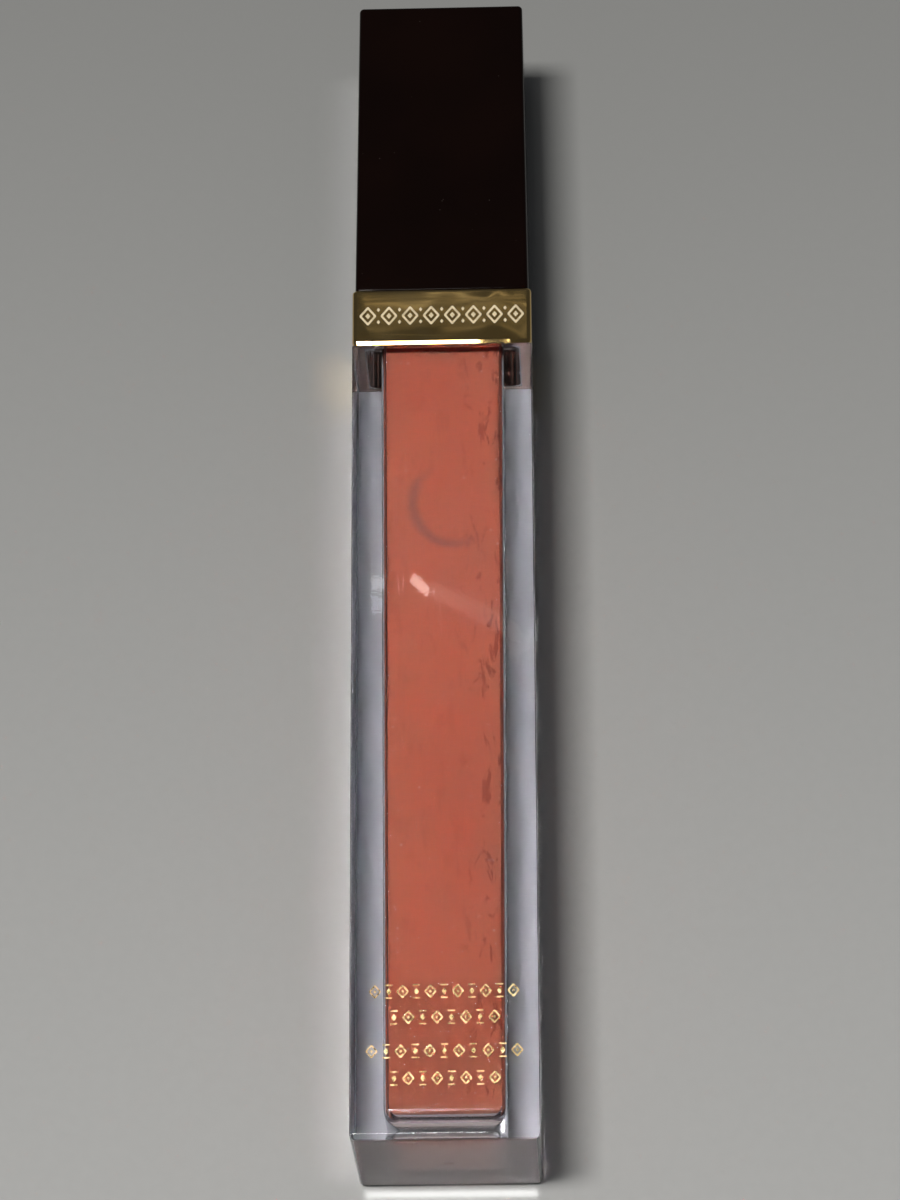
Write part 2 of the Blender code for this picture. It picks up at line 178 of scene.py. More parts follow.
# Inner cap, cap shell and collar
CUP_BORE = 5.35 * MM
CUP_RADIUS = 6.3 * MM
CUP_CEILING_TOP = 94.15 * MM
CUP_CEILING = 92.75 * MM
SOCKET_BORE = 1.75 * MM
SOCKET_RADIUS = 3.0 * MM
SOCKET_END = 1.3 * MM
PLATE_HEIGHT = 1.3 * MM
LOW_PLATE_HALF = 6.75 * MM
TOP_PLATE_HALF = 6.55 * MM
PLATE_CORNER = 0.6 * MM
CAP_HALF_BASE = 8.225 * MM
CAP_HALF_TOP = 7.925 * MM
CAP_EDGE = 0.40 * MM
CAP_CORNER = 0.44 * MM
CAP_FOOT_EDGE = 0.12 * MM
SHELL_WALL = 1.2 * MM
COLLAR_EDGE = 0.30 * MM
COLLAR_ROLL = 0.34 * MM
COLLAR_ROLL_DROP = 0.087 * MM
COLLAR_ROLL_RINGS = (0.08, 0.92, 1.0)
COLLAR_FOOT_EDGE = 0.10 * MM
COLLAR_CORNER = 0.46 * MM
COLLAR_WALL = 1.1 * MM
COLLAR_TOP_WALL = 0.7 * MM
COLLAR_HOLE = 5.4 * MM

# Ornament: a pair is the half width and half height of a mark, as shares of its row's HALF
LOZENGE_BLUNT = 0.08
COLLAR_MOTIFS = 8
COLLAR_MOTIF_PITCH = 2.0 * MM
COLLAR_MOTIF_HALF = 1.02 * MM
COLLAR_STROKE = 0.20 * MM
COLLAR_LOZENGE = (0.82, 1.0)
COLLAR_CENTRE = (0.24, 0.30)
COLLAR_DOT = (0.16, 0.22)
COLLAR_DOT_OFFSET = 0.62
FOIL_HALF = 0.66 * MM
FOIL_STROKE = 0.13 * MM
FOIL_LOZENGE = (0.86, 1.0)
FOIL_CENTRE = (0.2, 0.26)
FOIL_SPOT = (0.34, 0.5)
FOIL_BAR_HALF = 0.5
FOIL_BAR_OFFSET = 0.9
FOIL_END_HALF = 0.62
# Height above the base end, width and number of marks of each row of foil ornament
FOIL_ROWS = (
    (13.6 * MM, 13.2 * MM, 11),
    (11.2 * MM, 9.8 * MM, 8),
    (8.1 * MM, 13.8 * MM, 11),
    (5.6 * MM, 9.8 * MM, 8),
)

# Marks in the materials: the frosted base end, the hazy cavity and a smear in the gloss
FROSTING = 0.42
FROST_DEPTH = 0.05 * MM
FROST_FADE = 0.20 * MM
CAVITY_HAZE = 0.10
CAVITY_HAZE_DEPTH = 0.3 * MM
SMEAR_CENTRE = (1.1 * MM, 4.9 * MM)
SMEAR_RADIUS = 4.0 * MM
SMEAR_WIDTH = 0.85 * MM
SMEAR_RAGGED = 0.8 * MM

# Setting
FLOOR_SIZE = 3.0
FLOOR_DROP = 0.02 * MM
# How far along Y the painted light falloff on the floor reaches
FLOOR_FALLOFF_REACH = 0.16
GLINT_WATTS = 0.000038
GLINT_SIZE = (0.0158, 0.0007)
GLINT_SPREAD = math.radians(45)
GLINT_GAP = 0.75 * MM
GLINT_HEIGHT = 1.2 * MM
DAYLIGHT = (1.0, 0.98, 0.955)
BEAMLIGHT = (1.0, 0.95, 0.85)
LAMPLIGHT = (1.0, 0.90, 0.80)
# Panel lights: name, direction from the object, distance, size, watts, colour and roll
PANELS = (
    ("key", (-0.20, -0.06, 1.0), 1.50, (0.36, 0.18), 15.0, DAYLIGHT, 0.0),
    ("key_side", (-0.045, -0.06, 1.0), 1.50, (0.07, 0.18), 0.6, DAYLIGHT, 0.0),
    ("low_front", (0.05, -1.0, 0.36), 0.55, (0.50, 0.12), 0.20, (1.0, 0.98, 0.95), 0.0),
    ("ceiling", (-0.035, 0.50, 1.0), 1.50, (0.50, 0.26), 0.0045, (1.0, 0.88, 0.66), 0.0),
    ("beam", (-0.030, 0.4765, 1.0), 1.50, (0.12, 0.0045), 0.00025, BEAMLIGHT, 0.0),
    ("beam", (-0.030, 0.484, 1.0), 1.50, (0.12, 0.003), 0.0003, BEAMLIGHT, 0.0),
    ("beam", (-0.030, 0.491, 1.0), 1.50, (0.12, 0.0035), 0.0006, BEAMLIGHT, 0.0),
    ("lamp", (-0.0418, 0.3885, 1.0), 1.50, (0.010, 0.0045), 0.0013, LAMPLIGHT, -0.75),
    ("lamp_trail", (-0.0240, 0.3790, 1.0), 1.50, (0.048, 0.007), 0.0015, LAMPLIGHT, -0.49),
    ("lamp_spot", (-0.0545, 0.3892, 1.0), 1.50, (0.0065, 0.006), 0.0006, (0.94, 1.0, 0.98), 0.0),
)
ROOM_COLOUR = (0.90, 0.93, 1.0, 1.0)
ROOM_STRENGTH = 0.06
CLEAR_BOUNCES = 24
MIRROR_BOUNCES = 8

LOW, HIGH = CAD_BOX
BASE_Y = LOW.y
AXIS_HEIGHT = (LOW.z + HIGH.z) / 2
LAY = Matrix.Translation((0.0, BASE_Y, AXIS_HEIGHT)) @ Matrix.Rotation(-math.pi / 2, 4, "X")


def reach(node):
    """(lowest, highest) distance of a CAD node from the base end, along the tube."""
    low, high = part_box(node)
    return low.y - BASE_Y, high.y - BASE_Y


def half_width(node):
    """Half of a CAD node's width across the tube."""
    low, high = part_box(node)
    return (high.x - low.x) / 2


# ---------------------------------------------------------------- mesh helpers


def square_ring(height, half, corner):
    """Points round a square with rounded corners."""
    points = []
    for quarter in range(4):
        turn = Matrix.Rotation(quarter * math.pi / 2, 2)
        for step in range(CORNER_STEPS + 1):
            angle = math.pi / 2 * step / CORNER_STEPS
            x = half - corner + corner * math.cos(angle)
            y = half - corner + corner * math.sin(angle)
            points.append(turn @ Vector((x, y)))
        for step in range(1, SIDE_STEPS):
            x = (half - corner) * (1 - 2 * step / SIDE_STEPS)
            points.append(turn @ Vector((x, half)))
    return [(point.x, point.y, height) for point in points]


def round_ring(height, radius, count=4 * (CORNER_STEPS + SIDE_STEPS)):
    """Points round a circle, in step with those of a square ring if the count is left out."""
    first = math.pi / 4 - math.pi / 4 * CORNER_STEPS / (CORNER_STEPS + SIDE_STEPS)
    points = []
    for index in range(count):
        angle = first + 2 * math.pi * index / count
        points.append((radius * math.cos(angle), radius * math.sin(angle), height))
    return points


def rounded_rim(height, half, corner, edge, upwards):
    """Square rings round a rim, from the flat end face to the side, or from the side to the end."""
    rings = []
    for step in range(ARC_STEPS + 1):
        angle = math.pi / 2 * step / ARC_STEPS
        drop = edge * (1 - math.cos(angle))
        inset = edge * (1 - math.sin(angle))
        if upwards:
            drop, inset = edge * (1 - math.sin(angle)), edge * (1 - math.cos(angle))
        level = height - drop if upwards else height + drop
        rings.append(square_ring(level, half - inset, max(corner - inset, corner / 4)))
    return rings


def rounded_bottom(base, half, corner, curve):
    """Square rings of a bottom with a curved edge, from its flat middle out to the side."""
    rings = []
    for step in range(ARC_STEPS + 1):
        angle = math.pi / 2 * step / ARC_STEPS
        inset = curve * (1 - math.sin(angle))
        level = base + curve * (1 - math.cos(angle))
        rings.append(square_ring(level, half - inset, max(corner - inset, corner / 3)))
    return rings


def skin(name, rings, closed=False):
    """A mesh over rings that all have the same number of points, with flat ends unless closed."""
    mesh = bpy.data.meshes.new(name)
    shape = bmesh.new()
    rows = [[shape.verts.new(point) for point in ring] for ring in rings]
    pairs = list(zip(rows, rows[1:]))
    if closed:
        pairs.append((rows[-1], rows[0]))
    for row, following in pairs:
        count = len(row)
        for index in range(count):
            after = (index + 1) % count
            shape.faces.new((row[index], row[after], following[after], following[index]))
    if not closed:
        shape.faces.new(list(reversed(rows[0])))
        shape.faces.new(rows[-1])
    bmesh.ops.recalc_face_normals(shape, faces=shape.faces)
    shape.to_mesh(mesh)
    shape.free()
    return mesh


def lathe(name, outline, closed=False):
    """A turned shape from (radius, height) pairs. An open outline ends in flat faces."""
    rings = [round_ring(height, radius, ROUND_STEPS) for radius, height in outline]
    return skin(name, rings, closed)


def tube(points, radii, sides):
    """Rings of a thin round rod along points, for joining into a mesh."""
    rings = []
    for index, point in enumerate(points):
        before = points[max(index - 1, 0)]
        after = points[min(index + 1, len(points) - 1)]
        along = (after - before).normalized()
        across = along.orthogonal().normalized()
        up = along.cross(across)
        ring = []
        for side in range(sides):
            angle = 2 * math.pi * side / sides
            offset = across * math.cos(angle) + up * math.sin(angle)
            ring.append(point + offset * radii[index])
        rings.append(ring)
    return rings


def piece(name, mesh, finish, body, slot, *nodes):
    """Lays a standing mesh down in the frame as one piece of the object."""
    mesh.transform(LAY)
    mesh.materials.clear()
    mesh.materials.append(finish)
    mesh.shade_smooth()
    mesh.set_sharp_from_angle(angle=SHARP_ANGLE)
    made = bpy.data.objects.new(name, mesh)
    bpy.context.scene.collection.objects.link(made)
    even = made.modifiers.new("even shading", "WEIGHTED_NORMAL")
    even.keep_sharp = True
    even.weight = 100
    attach(made, body)
    if nodes:
        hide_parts(*nodes)
    return made


def merged(name, mesh, other):
    """The union of two closed meshes."""
    base = bpy.data.objects.new(name, mesh)
    tool = bpy.data.objects.new(name + "_tool", other)
    for made in (base, tool):
        bpy.context.scene.collection.objects.link(made)
    union = base.modifiers.new("union", "BOOLEAN")
    union.operation = "UNION"
    union.object = tool
    union.solver = "EXACT"
    bpy.context.view_layer.update()
    graph = bpy.context.evaluated_depsgraph_get()
    result = bpy.data.meshes.new_from_object(base.evaluated_get(graph))
    bpy.data.objects.remove(base, do_unlink=True)
    bpy.data.objects.remove(tool, do_unlink=True)
    return result


def thread_bead(name, radius, start, bead):
    """A right-hand helical bead that thins out at both ends."""
    points = []
    radii = []
    for step in range(THREAD_STEPS + 1):
        along = step / THREAD_STEPS
        angle = 2 * math.pi * THREAD_TURNS * along
        height = start + THREAD_PITCH * THREAD_TURNS * along
        points.append(Vector((radius * math.cos(angle), radius * math.sin(angle), height)))
        from_end = min(along, 1 - along) / THREAD_RUNOUT
        radii.append(bead * min(1.0, THREAD_END_SCALE + (1 - THREAD_END_SCALE) * from_end))
    rings = []
    for index, point in enumerate(points):
        outward = Vector((point.x, point.y, 0.0)).normalized()
        ring = []
        for side in range(THREAD_SIDES):
            angle = 2 * math.pi * side / THREAD_SIDES
            offset = outward * math.cos(angle) + Vector((0.0, 0.0, math.sin(angle)))
            ring.append(point + offset * radii[index])
        rings.append(ring)
    return skin(name, rings)


# ---------------------------------------------------------------- material helpers


class Finish:
    """A node material under construction: its shader, and shorthand for the nodes that feed it."""

    def __init__(self, name, **settings):
        self.material = bpy.data.materials.new(name)
        self.material.use_nodes = True
        self.tree = self.material.node_tree
        self.shader = self.tree.nodes["Principled BSDF"]
        self.coords = self.tree.nodes.new("ShaderNodeTexCoord").outputs["Object"]
        for socket, value in settings.items():
            self.shader.inputs[socket.replace("_", " ")].default_value = value

    def node(self, kind, **inputs):
        """A new node with its inputs linked or set."""
        node = self.tree.nodes.new(kind)
        for name, value in inputs.items():
            self.feed(node.inputs[name.replace("_", " ")], value)
        return node

    def feed(self, socket, value):
        """Links the value if it is a socket, and sets it if it is a number or a colour."""
        if isinstance(value, bpy.types.NodeSocket):
            self.tree.links.new(value, socket)
        else:
            socket.default_value = value

    def stretched(self, x=1.0, y=1.0, z=1.0):
        """The coordinates scaled per axis: a small scale draws a texture out along that axis."""
        mapping = self.node("ShaderNodeMapping", Vector=self.coords)
        mapping.inputs["Scale"].default_value = (x, y, z)
        return mapping.outputs["Vector"]

    def place(self, axis):
        """Where the shaded point is along an axis of the frame, with the tube closed."""
        return self.node("ShaderNodeSeparateXYZ", Vector=self.coords).outputs[axis]

    def off_axis(self):
        """How far the shaded point is from the tube's axis, sideways or upwards."""
        sideways = self.math("ABSOLUTE", self.place("X"))
        upwards = self.math("ABSOLUTE", self.math("SUBTRACT", self.place("Z"), AXIS_HEIGHT))
        return self.math("MAXIMUM", upwards, sideways)

    def noise(self, scale, detail=3.0, roughness=0.5, distortion=0.0, vector=None):
        texture = self.node(
            "ShaderNodeTexNoise",
            Vector=vector or self.coords,
            Scale=scale,
            Detail=detail,
            Roughness=roughness,
            Distortion=distortion,
        )
        return texture.outputs["Fac"]

    def cells(self, scale):
        """The distance to the nearest of many scattered points."""
        texture = self.node("ShaderNodeTexVoronoi", Vector=self.coords, Scale=scale)
        return texture.outputs["Distance"]

    def spread(self, value, low, high, to_low=0.0, to_high=1.0):
        """Maps low..high of a value to to_low..to_high, smoothly and clamped."""
        node = self.tree.nodes.new("ShaderNodeMapRange")
        node.interpolation_type = "SMOOTHSTEP"
        self.feed(node.inputs["Value"], value)
        node.inputs["From Min"].default_value = low
        node.inputs["From Max"].default_value = high
        node.inputs["To Min"].default_value = to_low
        node.inputs["To Max"].default_value = to_high
        return node.outputs["Result"]

    def math(self, operation, first, second=0.0):
        node = self.tree.nodes.new("ShaderNodeMath")
        node.operation = operation
        self.feed(node.inputs[0], first)
        self.feed(node.inputs[1], second)
        return node.outputs["Value"]

    def mix(self, amount, first, second):
        """Mixes two colours by an amount."""
        node = self.tree.nodes.new("ShaderNodeMix")
        node.data_type = "RGBA"
        self.feed(node.inputs["Factor"], amount)
        for index, value in ((6, first), (7, second)):
            if isinstance(value, tuple):
                value = (*value, 1.0)
            self.feed(node.inputs[index], value)
        return node.outputs[2]

    def bump(self, height, distance, under=None):
        """A normal from a height pattern of a depth in metres, on top of another one if given."""
        node = self.tree.nodes.new("ShaderNodeBump")
        node.inputs["Strength"].default_value = 1.0
        node.inputs["Distance"].default_value = distance
        self.feed(node.inputs["Height"], height)
        if under is not None:
            self.feed(node.inputs["Normal"], under)
        return node.outputs["Normal"]

    def set(self, **inputs):
        """Sets or links inputs of the shader."""
        for name, value in inputs.items():
            if isinstance(value, tuple) and len(value) == 3:
                value = (*value, 1.0)
            self.feed(self.shader.inputs[name.replace("_", " ")], value)


# ---------------------------------------------------------------- materials


def clear_jacket_finish():
    """Thick polished clear plastic, a trace lilac, with handling haze, hairline scratches and a frosted
    base end that carries painted shade.
    """
    finish = Finish("clear_jacket", IOR=1.49, Transmission_Weight=1.0)
    haze = finish.spread(finish.noise(190.0, 5.0, 0.6), 0.50, 0.78, 0.004, 0.022)
    base_end = finish.spread(finish.place("Y"), BASE_Y + FROST_FADE, BASE_Y + FROST_DEPTH)
    haze = finish.math("MAXIMUM", haze, finish.math("MULTIPLY", base_end, FROSTING))
    clear_from = CAVITY_HALF_TOP + CAVITY_HAZE_DEPTH
    cavity = finish.spread(finish.off_axis(), clear_from, CAVITY_HALF_TOP, 0.0, CAVITY_HAZE)
    cavity = finish.math("MULTIPLY", cavity, finish.math("SUBTRACT", 1.0, base_end))
    haze = finish.math("MAXIMUM", haze, cavity)
    tint = finish.mix(finish.noise(60.0, 2.0), (0.900, 0.905, 0.985), (0.925, 0.930, 0.992))
    # Painted shade: the base end is tinted brown-grey in place of the shade it lies in.
    tint = finish.mix(base_end, tint, (0.70, 0.53, 0.50))
    scratches = finish.noise(900.0, 2.0, 0.5, 0.6, finish.stretched(1.0, 0.06, 1.0))
    fine = finish.bump(finish.spread(scratches, 0.62, 0.70), 0.0008 * MM)
    ripple = finish.bump(finish.noise(1500.0, 2.0, 0.6), 0.00035 * MM, fine)
    finish.set(Base_Color=tint, Roughness=haze)
    finish.set(Normal=finish.bump(finish.noise(110.0, 1.0), 0.003 * MM, ripple))
    return finish.material


def clear_vial_finish():
    """Thin moulded clear plastic, a little hazier than the jacket."""
    finish = Finish("clear_vial", IOR=1.50, Transmission_Weight=1.0)
    haze = finish.spread(finish.noise(260.0, 4.0, 0.6), 0.40, 0.80, 0.06, 0.14)
    tint = finish.mix(finish.noise(80.0, 2.0), (0.96, 0.955, 0.98), (0.98, 0.975, 0.992))
    finish.set(Base_Color=tint, Roughness=haze)
    finish.set(Normal=finish.bump(finish.noise(140.0, 1.0), 0.004 * MM))
    return finish.material


def smear(finish, x, y):
    """A faint crescent where the gloss has thinned on the vial's wall, strongest at its left."""
    off_x = finish.math("SUBTRACT", x, SMEAR_CENTRE[0])
    off_y = finish.math("SUBTRACT", y, SMEAR_CENTRE[1])
    squares = [finish.math("MULTIPLY", off, off) for off in (off_x, off_y)]
    radius = finish.math("SQRT", finish.math("ADD", *squares))
    ragged = finish.math("MULTIPLY", finish.noise(380.0, 3.0, 0.6), SMEAR_RAGGED)
    middle = SMEAR_RADIUS + SMEAR_RAGGED / 2
    away = finish.math("SUBTRACT", finish.math("ADD", radius, ragged), middle)
    band = finish.spread(finish.math("ABSOLUTE", away), 0.0, SMEAR_WIDTH, 1.0, 0.0)
    slant = finish.math("ADD", finish.math("MULTIPLY", off_x, 1.6), off_y)
    return finish.math("MULTIPLY", band, finish.spread(slant, 1.5 * MM, -6.0 * MM))


def gloss_finish():
    """Opaque coral gloss against the vial's wall, with dark wisps stronger towards +X, smears, bubbles
    with painted highlights and painted shade under the collar.
    """
    finish = Finish("coral_gloss", Specular_IOR_Level=0.15, Subsurface_Weight=0.0)
    broad = finish.spread(finish.noise(45.0, 3.0, 0.55, 0.4), 0.35, 0.70)
    colour = finish.mix(broad, (0.94, 0.362, 0.192), (0.91, 0.335, 0.178))
    wisps = finish.noise(800.0, 4.0, 0.65, 0.5, finish.stretched(1.0, 0.35, 1.0))
    x = finish.place("X")
    y = finish.place("Y")
    # Dark wisps, stronger towards +X.
    edge = finish.spread(x, 1.0 * MM, 4.6 * MM, 0.12, 0.85)
    streaks = finish.math("MULTIPLY", finish.spread(wisps, 0.54, 0.64), edge)
    colour = finish.mix(streaks, colour, (0.60, 0.17, 0.09))
    thinned = finish.math("MULTIPLY", smear(finish, x, y), 0.6)
    colour = finish.mix(thinned, colour, (0.50, 0.27, 0.20))
    # Small bubbles, painted as light highlights in the gloss.
    bubble_highlights = finish.spread(finish.cells(520.0), 0.05, 0.09, 0.6, 0.0)
    colour = finish.mix(bubble_highlights, colour, (0.98, 0.60, 0.42))
    # Painted shade: the gloss turns deep red where the collar covers it.
    shaded = finish.spread(y, BASE_Y + BODY_LENGTH, BASE_Y + BODY_LENGTH + 0.25 * MM)
    colour = finish.mix(shaded, colour, (0.34, 0.03, 0.008))
    finish.set(Base_Color=colour)
    finish.set(Roughness=finish.spread(wisps, 0.4, 0.7, 0.45, 0.6))
    finish.set(Normal=finish.bump(finish.noise(500.0, 3.0), 0.01 * MM))
    return finish.material


def gold_finish():
    """Mirror-plated gold, slightly wavy, with fine wiping marks, and painted shade in brown on its foot
    and inside.
    """
    finish = Finish("polished_gold", Metallic=1.0)
    tone = finish.spread(finish.noise(240.0, 3.0, 0.5), 0.35, 0.7)
    colour = finish.mix(tone, (0.72, 0.49, 0.180), (0.80, 0.57, 0.235))
    foot = BASE_Y + BODY_LENGTH
    # Painted shade: the foot and the inside of the collar are darkened to brown.
    foot_shade = finish.spread(finish.place("Y"), foot + 0.04 * MM, foot)
    inner = half_width("gold_collar") - COLLAR_WALL
    inside_shade = finish.spread(finish.off_axis(), inner + 0.2 * MM, inner + 0.1 * MM)
    collar_shade = finish.math("MAXIMUM", foot_shade, inside_shade)
    colour = finish.mix(collar_shade, colour, (0.46, 0.27, 0.19))
    marks = finish.noise(1500.0, 2.0, 0.5, 0.2, finish.stretched(0.05, 1.0, 1.0))
    rough = finish.spread(marks, 0.45, 0.75, 0.03, 0.10)
    waves = finish.bump(finish.noise(95.0, 2.0, 0.45, 0.8), 0.05 * MM)
    finish.set(Base_Color=colour, Roughness=rough)
    finish.set(Normal=finish.bump(finish.spread(marks, 0.55, 0.8), 0.0006 * MM, waves))
    return finish.material


def satin_gold_finish():
    """The matt, paler gold of the ornament on the collar."""
    finish = Finish("satin_gold", Metallic=1.0)
    grain = finish.noise(5200.0, 3.0, 0.6)
    colour = finish.mix(finish.spread(grain, 0.3, 0.7), (0.80, 0.66, 0.42), (0.93, 0.80, 0.56))
    finish.set(Base_Color=colour, Roughness=finish.spread(grain, 0.3, 0.7, 0.38, 0.55))
    finish.set(Normal=finish.bump(grain, 0.004 * MM))
    return finish.material


def foil_finish():
    """Hot-stamped gold foil: bright, thin and a little broken at its edges."""
    finish = Finish("foil_print", Metallic=1.0)
    grain = finish.noise(2600.0, 4.0, 0.65)
    colour = finish.mix(finish.spread(grain, 0.35, 0.7), (0.78, 0.55, 0.22), (0.98, 0.78, 0.42))
    finish.set(Base_Color=colour, Roughness=finish.spread(grain, 0.3, 0.75, 0.22, 0.42))
    finish.set(Normal=finish.bump(grain, 0.006 * MM))
    return finish.material


def cap_finish():
    """Near-black brown lacquered plastic with dust, faint wiping marks and a deep gloss."""
    finish = Finish("dark_cap", Specular_IOR_Level=0.22)
    tone = finish.spread(finish.noise(70.0, 3.0), 0.35, 0.7)
    colour = finish.mix(tone, (0.0042, 0.0014, 0.0009), (0.0062, 0.0021, 0.0013))
    dust = finish.spread(finish.cells(900.0), 0.03, 0.07, 0.5, 0.0)
    sparse = finish.spread(finish.noise(130.0, 2.0), 0.52, 0.66)
    colour = finish.mix(finish.math("MULTIPLY", dust, sparse), colour, (0.06, 0.045, 0.04))
    wipes = finish.noise(380.0, 4.0, 0.6, 0.8, finish.stretched(1.0, 0.25, 1.0))
    finish.set(Base_Color=colour, Roughness=finish.spread(wipes, 0.42, 0.75, 0.06, 0.09))
    finish.set(Normal=finish.bump(finish.noise(260.0, 1.0), 0.002 * MM))
    return finish.material


def dark_plastic_finish():
    """Plain moulded black plastic of the inner cap and the wand."""
    finish = Finish("dark_plastic", IOR=1.46)
    grain = finish.noise(3000.0, 3.0, 0.6)
    tone = finish.spread(finish.noise(220.0, 3.0), 0.35, 0.7)
    finish.set(Base_Color=finish.mix(tone, (0.012, 0.010, 0.009), (0.022, 0.018, 0.016)))
    finish.set(Roughness=finish.spread(grain, 0.3, 0.7, 0.28, 0.45))
    finish.set(Normal=finish.bump(grain, 0.004 * MM))
    return finish.material


def coated_stem_finish():
    """Black plastic with a film of gloss that thickens towards the brush."""
    finish = Finish("coated_stem", Coat_Weight=0.6, Coat_Roughness=0.06)
    grain = finish.noise(700.0, 4.0, 0.6, 0.5, finish.stretched(1.0, 0.3, 1.0))
    start = BASE_Y + GLOSS_FILM_FROM
    depth = finish.spread(finish.place("Y"), start, BASE_Y + GLOSS_FILM_FULL, 0.0, 0.55)
    film = finish.spread(finish.math("ADD", grain, depth), 0.62, 0.95)
    finish.set(Base_Color=finish.mix(film, (0.014, 0.011, 0.010), (0.60, 0.155, 0.10)))
    finish.set(Roughness=finish.spread(grain, 0.3, 0.7, 0.2, 0.35))
    finish.set(Normal=finish.bump(grain, 0.03 * MM))
    return finish.material


def fibre_finish():
    """Dark nylon bristles, loaded with gloss towards the tip."""
    finish = Finish("brush_fibre", Coat_Weight=0.7, Coat_Roughness=0.08)
    clumps = finish.noise(900.0, 3.0, 0.6)
    tip, root = reach("brush_tuft")
    depth = finish.spread(finish.place("Y"), BASE_Y + root, BASE_Y + tip, 0.0, 0.7)
    load = finish.spread(finish.math("ADD", clumps, depth), 0.6, 1.0)
    finish.set(Base_Color=finish.mix(load, (0.05, 0.03, 0.025), (0.66, 0.17, 0.11)))
    finish.set(Roughness=finish.spread(clumps, 0.3, 0.7, 0.22, 0.4))
    finish.set(Normal=finish.bump(clumps, 0.01 * MM))
    return finish.material


def wiper_finish():
    """Milky soft plastic, smeared with gloss round its lip."""
    finish = Finish("wiper_plastic", Subsurface_Weight=0.0, IOR=1.46)
    streaks = finish.noise(600.0, 4.0, 0.6, 0.6)
    low, high = reach("wiper_insert")
    depth = finish.spread(finish.place("Y"), BASE_Y + high, BASE_Y + low, 0.0, 0.45)
    film = finish.spread(finish.math("ADD", streaks, depth), 0.60, 0.85)
    finish.set(Base_Color=finish.mix(film, (0.78, 0.76, 0.72), (0.70, 0.26, 0.19)))
    finish.set(Roughness=finish.spread(streaks, 0.3, 0.7, 0.3, 0.5))
    finish.set(Normal=finish.bump(streaks, 0.008 * MM))
    return finish.material


def seal_finish():
    """Closed-cell foam liner."""
    finish = Finish("seal_foam")
    cells = finish.cells(5200.0)
    tone = finish.spread(finish.noise(500.0, 3.0), 0.35, 0.7)
    finish.set(Base_Color=finish.mix(tone, (0.78, 0.77, 0.74), (0.66, 0.64, 0.60)))
    finish.set(Roughness=finish.spread(cells, 0.1, 0.6, 0.6, 0.8))
    finish.set(Normal=finish.bump(cells, 0.02 * MM))
    return finish.material


def wire_finish():
    """Drawn brass wire with lengthwise draw marks."""
    finish = Finish("anchor_wire", Metallic=1.0)
    marks = finish.noise(3000.0, 3.0, 0.6, 0.0, finish.stretched(0.08, 1.0, 1.0))
    colour = finish.mix(finish.spread(marks, 0.3, 0.7), (0.55, 0.40, 0.16), (0.74, 0.56, 0.26))
    finish.set(Base_Color=colour, Roughness=finish.spread(marks, 0.3, 0.7, 0.22, 0.4))
    finish.set(Normal=finish.bump(marks, 0.003 * MM))
    return finish.material


def floor_finish():
    """Plain satin board, with painted light that makes it paler towards the base end."""
    finish = Finish("floor", Specular_IOR_Level=0.3)
    grain = finish.noise(900.0, 4.0, 0.6)
    # Painted light: the board's colour stands in for the lamps' falloff, paler towards the base end.
    painted_falloff = finish.spread(finish.place("Y"), -FLOOR_FALLOFF_REACH, FLOOR_FALLOFF_REACH)
    colour = finish.mix(painted_falloff, (0.605, 0.61, 0.60), (0.232, 0.235, 0.228))
    colour = finish.mix(finish.spread(grain, 0.3, 0.7, 0.0, 0.04), colour, (0.30, 0.30, 0.30))
    finish.set(Base_Color=colour, Roughness=finish.spread(grain, 0.3, 0.7, 0.66, 0.72))
    finish.set(Normal=finish.bump(grain, 0.001 * MM))
    return finish.material


# ---------------------------------------------------------------- pieces


def make_jacket():
    """A thick square block with a shoulder for the collar, a tapered cavity and a gate mark."""
    low, high = reach("outer_jacket")
    half = half_width("outer_jacket") - SKIN
    rings = [round_ring(low + GATE_DEPTH, GATE_RADIUS * GATE_TAPER)]
    rings.append(round_ring(low, GATE_RADIUS))
    rings.append(round_ring(low, GATE_RADIUS + FLAT_MARGIN))
    rings.append(square_ring(low, half - JACKET_BASE_EDGE - FLAT_MARGIN, JACKET_CORNER / 2))
    rings += rounded_rim(low, half, JACKET_CORNER, JACKET_BASE_EDGE, upwards=False)
    rings += rounded_rim(BODY_LENGTH, half, JACKET_CORNER, JACKET_TOP_EDGE, upwards=True)
    rings.append(square_ring(BODY_LENGTH, SHOULDER_HALF, SHOULDER_CORNER))
    rings += rounded_rim(high, SHOULDER_HALF, SHOULDER_CORNER, SHOULDER_EDGE, upwards=True)
    rings.append(square_ring(high, CAVITY_HALF_TOP, CAVITY_CORNER))
    floor = low + CAVITY_FLOOR
    bottom = rounded_bottom(floor, CAVITY_HALF_BASE, CAVITY_CORNER, CAVITY_BOTTOM_ROUND)
    rings += list(reversed(bottom))
    mesh = skin("outer_jacket_clear", rings)
    return piece(
        "outer_jacket_clear", mesh, clear_jacket_finish(), "bottle", "clear_jacket", "outer_jacket"
    )


